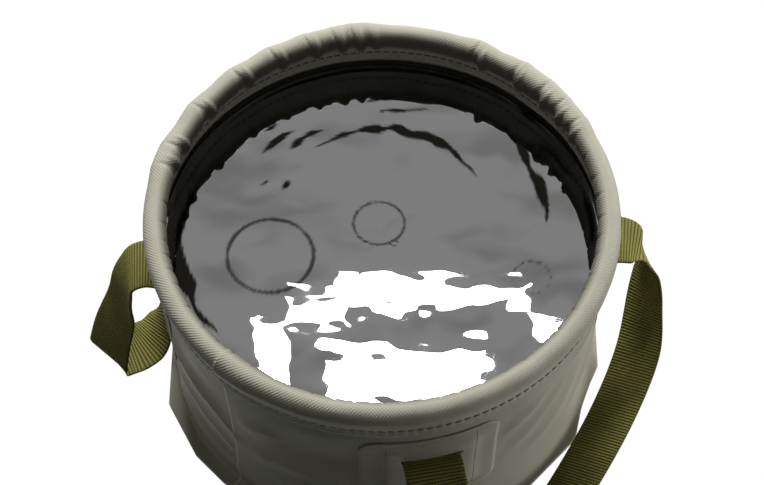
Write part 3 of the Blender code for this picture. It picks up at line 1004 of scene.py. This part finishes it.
LEFT_ROUTE = (
    (-0.149, -0.0026, 0.1048, -0.017, 1.0, 0.0), (-0.159, -0.0027, 0.107, 0.0, 1.0, 0.0),
    (-0.1695, -0.0035, 0.102, -0.1, 0.995, 0.0), (-0.1745, -0.004, 0.09, -0.25, 0.97, 0.0),
    (-0.179, -0.0045, 0.074, -0.4, 0.92, 0.0), (-0.182, -0.006, 0.055, -0.53, 0.85, 0.0),
    (-0.1905, -0.0116, 0.03, -0.68, 0.73, 0.0), (-0.195, -0.017, 0.013, -0.74, 0.67, 0.0),
    (-0.1953, -0.0176, 0.0085, -0.745, 0.665, 0.0), (-0.194, -0.0168, 0.004, -0.745, 0.665, 0.0),
    (-0.1905, -0.0148, 0.002, -0.735, 0.675, 0.0), (-0.185, -0.0126, 0.002, -0.69, 0.72, 0.0),
    (-0.1765, -0.009, 0.0026, -0.65, 0.76, 0.0), (-0.169, -0.0035, 0.004, -0.642, 0.767, -0.06),
    (-0.163, 0.0035, 0.008, -0.58, 0.72, -0.36), (-0.1598, 0.0125, 0.0152, -0.4, 0.5, -0.76),
    (-0.159, 0.022, 0.0195, -0.15, 0.2, -0.96), (-0.1588, 0.033, 0.021, -0.08, -0.02, -1.0),
    (-0.1545, 0.058, 0.021, -0.08, 0.0, -1.0), (-0.142, 0.086, 0.021, -0.03, 0.0, -1.0),
    (-0.123, 0.113, 0.021, 0.1, -0.08, -0.99), (-0.103, 0.14, 0.022, 0.35, -0.3, -0.88),
    (-0.084, 0.1618, 0.0272, 0.62, -0.55, -0.55), (-0.052, 0.1805, 0.0442, 0.678, -0.59, -0.438),
    (-0.0375, 0.185, 0.064, 0.7, -0.55, -0.45), (-0.027, 0.1815, 0.085, 0.8, -0.42, -0.4),
    (-0.0212, 0.175, 0.0975, 0.93, -0.15, -0.22), (-0.02, 0.166, 0.1045, 0.985, 0.05, -0.07),
    (-0.019, 0.157, 0.1065, 0.9925, 0.122, 0.0), (-0.0182, 0.1479, 0.1048, 0.9925, 0.122, 0.0),
)


def smooth_route(stations, steps=16):
    """A Catmull-Rom curve through places and cross directions."""
    places = [Vector(station[:3]) for station in stations]
    widths = [Vector(station[3:]).normalized() for station in stations]
    found = []
    for values in (places, widths):
        ends = [2.0 * values[0] - values[1]] + values + [2.0 * values[-1] - values[-2]]
        curve = []
        for before, here, there, after in zip(ends, ends[1:], ends[2:], ends[3:]):
            for step in range(steps):
                share = step / steps
                bow = 2.0 * before - 5.0 * here + 4.0 * there - after
                turn = 3.0 * here - before - 3.0 * there + after
                spot = 2.0 * here + (there - before) * share + bow * share**2 + turn * share**3
                curve.append(0.5 * spot)
        found.append(curve + [values[-1]])
    return found


def even_route(stations, spacing):
    """Frames (place, across, face) at even distances along a route."""
    places, widths = smooth_route(stations)
    steps, length = even_places(places, spacing=spacing)
    frames = []
    for number, share in steps:
        along = (places[number + 1] - places[number]).normalized()
        width = widths[number].lerp(widths[number + 1], share)
        width = (width - along * width.dot(along)).normalized()
        frames.append((places[number].lerp(places[number + 1], share), width, width.cross(along)))
    return frames, length


# %% Handle straps
EDGE_ROUND = 0.0008
RIB_HEIGHT = 0.00022
STRAP_CELL = RIB_PITCH / 4
HINGE_REACH = 0.12931


def strap_section():
    """Places round the section as (across, out, share of a flat face)."""
    half, thick = WEBBING_WIDTH / 2, WEBBING_THICK / 2
    places = []
    for side in (1.0, -1.0):
        for step in range(15):
            places.append((side * (half - EDGE_ROUND) * (1.0 - step / 7.0), side * thick, 1.0))
        for turn in (30.0, 60.0, 90.0, 120.0, 150.0):
            lift = math.radians(90.0 + turn)
            across = side * -(half - EDGE_ROUND) + side * EDGE_ROUND * math.cos(lift)
            places.append((across, side * thick * math.sin(lift), 0.3))
    return places


def handle_strap(side, stations, nodes, lean):
    """A handle whose ends follow the slits."""
    frames, length = even_route(stations, STRAP_CELL)
    outline = strap_section()
    columns, rows = len(outline), len(frames) - 1
    girth = 2.0 * (WEBBING_WIDTH + WEBBING_THICK)
    build = flat_cloth(girth, length, columns, rows)

    def place(across, along):
        number = round(along / length * rows)
        beside, out, flatness = outline[round(across / girth * columns) % columns]
        rib = math.sin(math.pi * (number % 4) / 4.0) - 0.5
        spot, width, face = frames[number]
        swell = 1.0 + flatness * RIB_HEIGHT / (WEBBING_THICK / 2) * rib * 2.0
        return spot + width * beside + face * out * swell

    bend(build, place)
    bmesh.ops.remove_doubles(build, verts=build.verts, dist=0.00002)
    rims = [edge for edge in build.edges if edge.is_boundary]
    bmesh.ops.holes_fill(build, edges=rims, sides=0)
    bmesh.ops.recalc_face_normals(build, faces=build.faces)
    piece = finished("strap_" + side, build, strap_finish, None, nodes)
    turn = math.radians(lean)
    start = at(HANDLE_ANGLES[side], HINGE_REACH, HINGE_HEIGHT)
    way = at(HANDLE_ANGLES[side], math.sin(turn), -math.cos(turn))
    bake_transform(piece)
    print(piece.name, "is", round(length * 1000), "mm from slit to slit")
    return piece


right_nodes = ("handle_right", "strap_root_right", "strap_root_front")
left_nodes = ("handle_left", "strap_root_left", "strap_root_back")
right_strap = handle_strap("right", RIGHT_ROUTE, right_nodes, 30.0)
handle_strap("left", LEFT_ROUTE, left_nodes, 16.0)

# %% [markdown]
# ## The strap tails
#
# Behind each patch the strap goes on down, flat against the wall. The slit is deep enough to see
# it.

# %% Tails
TAIL_THICK = 0.0012
TAIL_OUT = 0.0014
TAIL_TOP = HINGE_HEIGHT + 0.002
TAIL_BOTTOM = PATCH_CENTRE - PATCH_HEIGHT / 2 + 0.0165


def strap_tail(side, angle):
    """The flat end of the strap between the wall and its patch."""
    build = flat_cloth(WEBBING_WIDTH, TAIL_TOP - TAIL_BOTTOM, 20, 40)

    def place(across, up):
        turn = angle + degrees_along(across - WEBBING_WIDTH / 2)
        return at(turn, WALL_RADIUS + TAIL_OUT, TAIL_BOTTOM + up)

    bend(build, place)
    nodes = ("strap_tail_" + side,)
    name = "webbing_tail_" + side
    press_with_wall(finished(name, build, strap_finish, "bowl_base", nodes, TAIL_THICK))


for side, angle in ANCHOR_ANGLES.items():
    strap_tail(side, angle)

# %% [markdown]
# ## Light and floor
#
# The photograph is a studio picture on white, with large soft lamps all round. The world's own
# light stays low, but the camera, mirrors and clear things see it and the floor as white.

# %% Floor
def seen_white(tree):
    """1 for the rays that see the studio as plain white."""
    rays = node(tree, "ShaderNodeLightPath").outputs
    seen = maths(tree, "MAXIMUM", rays["Is Camera Ray"], rays["Is Glossy Ray"])
    return maths(tree, "MAXIMUM", seen, rays["Is Transmission Ray"])


floor_finish, tree = new_finish("studio floor")
shader = tree.nodes["Principled BSDF"]
shader.inputs["Base Color"].default_value = (0.05, 0.05, 0.05, 1.0)
shader.inputs["Roughness"].default_value = 0.9
glow = node(tree, "ShaderNodeEmission", {"Color": (1.0, 1.0, 1.0, 1.0), "Strength": 1.18})
white = times(tree, seen_white(tree), 0.85)
join_shaders(tree, white, shader.outputs["BSDF"], glow.outputs["Emission"])
build = bmesh.new()
bmesh.ops.create_circle(build, cap_ends=True, segments=96, radius=3.0)
bmesh.ops.translate(build, verts=build.verts, vec=(0.0, 0.0, -0.0005))
studio_floor = finished("studio_floor", build, floor_finish, None)

# %% [markdown]
# ## Water for the picture
#
# The photograph shows the bowl filled. The water isn't part of the bowl, so its surface is staged
# like the floor: a disc with slow waves, partly mirror and partly clear. Where clouds, rings and
# steep little waves mirror the dark wall, a mask on its points darkens the mirror.

# %% Water
WATER_HEIGHT = 0.135
RINGS = (
    (-0.0735, -0.014, 0.0285, 0.001),
    (-0.002, 0.0115, 0.017, 0.0006),
    (0.098, -0.031, 0.0125, 0.0003),
    (0.008, -0.004, 0.0024, 0.0003),
    (0.043, -0.029, 0.002, 0.0003),
)
ARCS = (
    (0.0775, 0.0847, 0.0075, 0.0022, 120.0, 100.0), (0.105, 0.105, 0.0015, 0.0018, -148.0, 20.0),
    (0.096, 0.095, 0.003, 0.0018, -157.0, 20.0), (0.1165, 0.114, 0.0, 0.0012, 175.0, 13.0),
    (0.1125, 0.1025, 0.0, 0.0012, 160.0, 24.0), (0.1095, 0.1235, -0.001, 0.0028, 93.0, 47.0),
    (0.1295, 0.1265, 0.0065, 0.0032, -114.0, 64.0), (0.14, 0.131, 0.0, 0.0012, 106.0, 22.0),
    (0.1392, 0.1397, 0.0, 0.0018, 86.0, 20.0), (0.118, 0.119, 0.0, 0.0014, -143.0, 6.0),
    (0.09, 0.09, 0.0, 0.0012, -122.0, 6.0), (0.078, 0.078, 0.0, 0.0014, -127.0, 8.0),
)
WATER_RADIUS = 0.1466
WATER_RINGS = 110
WATER_STEPS = 300
SLOW_SWELL = 0.00014
FINE_SWELL = 0.000028
CHOP = 0.0002
LIFTED_EDGE = 0.0007


def water_height(spot, edge, turn):
    """Slow waves, fine ones, chop towards the back, and a lifted edge."""
    height = SLOW_SWELL * noise.noise(Vector((spot.x * 16.0, spot.y * 24.0, 1.7)))
    height += FINE_SWELL * noise.noise(Vector((spot.x * 70.0, spot.y * 110.0, 2.0)))
    chop = CHOP * ease(edge, 0.095, 0.13) * ease(spot.y, 0.0, 0.05)
    height += chop * noise.noise(Vector((edge * 95.0, turn * 4.0, 4.1)))
    return height + LIFTED_EDGE * ease(edge, 0.1425, 0.1462)


def painted_wall_reflection(spot, edge, turn):
    """Painted reflection: where the water should mirror the dark wall, from 0 to 1: clouds, arcs and rings.
    """
    wobble = 0.0030 * noise.noise(Vector((turn * 6.0, edge * 60.0, 0.0)))
    uneven = 1.35 + 1.1 * noise.noise(Vector((turn * 8.0, edge * 40.0, 5.0)))
    cloud = noise.noise(Vector((spot.x * 14.0 + wobble * 90.0, spot.y * 34.0, 7.3)))
    cloud += 0.6 * noise.noise(Vector((spot.x * 34.0, spot.y * 80.0 + wobble * 200.0, 3.9)))
    dark = 0.30 * ease(cloud, -0.15, 0.75)
    for start_radius, end_radius, bow, thick, start, sweep in ARCS:
        along = (math.degrees(turn) - start) % 360.0 / sweep
        if along < 1.0:
            radius = start_radius + (end_radius - start_radius) * along + 4.0 * bow * along * (1.0 - along)
            reach = thick * uneven * ease(min(along, 1.0 - along), 0.0, 0.4)
            off = abs(edge - radius - wobble)
            dark = max(dark, ease(reach, 0.0, 0.0006) * (1.0 - ease(off, reach - 0.0005, reach + 0.0005)))
    for x, y, radius, thick in RINGS:
        off = abs(math.hypot(spot.x - x, spot.y - y) - radius)
        reach = thick * uneven
        dark = max(dark, 0.85 * (1.0 - ease(off, reach - 0.0006, reach + 0.0006)))
    return dark


radii = [WATER_RADIUS * ring / WATER_RINGS for ring in range(1, WATER_RINGS + 1)]
build = spun_disc(radii, 0.0, WATER_STEPS)
reflection_paint = build.verts.layers.float.new("reflection_paint")
for vert in build.verts:
    spot = vert.co.copy()
    polar = (spot.xy.length, math.atan2(spot.x, -spot.y))
    vert[reflection_paint] = painted_wall_reflection(spot, *polar)
    vert.co.z = WATER_HEIGHT + water_height(spot, *polar)
build.normal_update()
if sum(face.normal.z for face in build.faces) < 0.0:
    bmesh.ops.reverse_faces(build, faces=build.faces)
water_finish, tree = new_finish("water surface")
tree.nodes.remove(tree.nodes["Principled BSDF"])
reflection_mask = node(tree, "ShaderNodeAttribute", attribute_name="reflection_paint")
# Painted reflection: the mask darkens the mirror's colour where the water should mirror the dark wall.
shade = mixed(tree, reflection_mask.outputs["Fac"], (1.0, 1.0, 1.0, 1.0), (0.045, 0.043, 0.034, 1.0))
mirror = node(tree, "ShaderNodeBsdfGlossy", {"Color": shade, "Roughness": 0.01})
clear = node(tree, "ShaderNodeBsdfTransparent", {"Color": (0.35, 0.355, 0.34, 1.0)})
gloss = node(tree, "ShaderNodeFresnel", {"IOR": 2.6})
join_shaders(tree, gloss.outputs["Fac"], clear.outputs["BSDF"], mirror.outputs["BSDF"])
water = press_with_wall(finished("staged_water", build, water_finish, "bowl_base"))

# %% World and lamps
world = bpy.data.worlds.new("studio")
bpy.context.scene.world = world
world.use_nodes = True
tree = world.node_tree
back = tree.nodes["Background"]
back.inputs["Color"].default_value = (1.0, 1.0, 1.0, 1.0)
tree.links.new(maths(tree, "MULTIPLY_ADD", seen_white(tree), 0.98, 0.02), back.inputs["Strength"])

LAMPS = {
    "overhead strip": ((0.13, 1.785, 3.15), (0.13, 0.0, 0.15), (0.54, 0.08), 12.0),
    "overhead strip left": ((-0.17, 1.73, 3.15), (-0.17, 0.0, 0.15), (0.14, 0.09), 2.5),
    "overhead left edge": ((-0.28, 1.61, 3.15), (-0.28, 0.0, 0.15), (0.08, 0.16), 2.0),
    "overhead right edge": ((0.42, 1.67, 3.15), (0.42, 0.0, 0.15), (0.07, 0.10), 1.5),
    "overhead softbox": ((0.06, 1.54, 3.15), (0.06, 0.0, 0.15), (0.42, 0.13), 26.0),
    "right softbox": ((1.15, -0.15, 0.07), (0.0, 0.0, 0.08), (0.7, 0.12), 8.5),
    "left softbox": ((-1.11, 0.3, 0.09), (0.0, 0.0, 0.09), (0.5, 0.14), 1.6),
    "front fill": ((0.0, -0.25, 2.3), (0.0, 0.0, 0.1), (1.0, 1.0), 5.5),
    "back softbox": ((0.0, 2.00, 1.95), (0.0, 0.0, 0.15), (1.4, 0.5), 118.0),
}
for name, (place, aim, size, power) in LAMPS.items():
    data = bpy.data.lights.new(name, "AREA")
    data.shape = "RECTANGLE"
    data.size, data.size_y = size
    data.energy = power
    lamp = bpy.data.objects.new(name, data)
    bpy.context.collection.objects.link(lamp)
    lamp.location = place
    lamp.rotation_euler = (Vector(aim) - Vector(place)).to_track_quat("-Z", "Y").to_euler()
print(len(LAMPS), "lamps")

# %% What two lamps leave out
shadowless = bpy.data.collections.new("no shadow from the right softbox")
shadowless.objects.link(right_strap)
bpy.data.objects["right softbox"].light_linking.blocker_collection = shadowless
shadowless.collection_objects[0].light_linking.link_state = "EXCLUDE"
bpy.data.objects["back softbox"].visible_glossy = False
bpy.context.scene.view_settings.view_transform = "Standard"
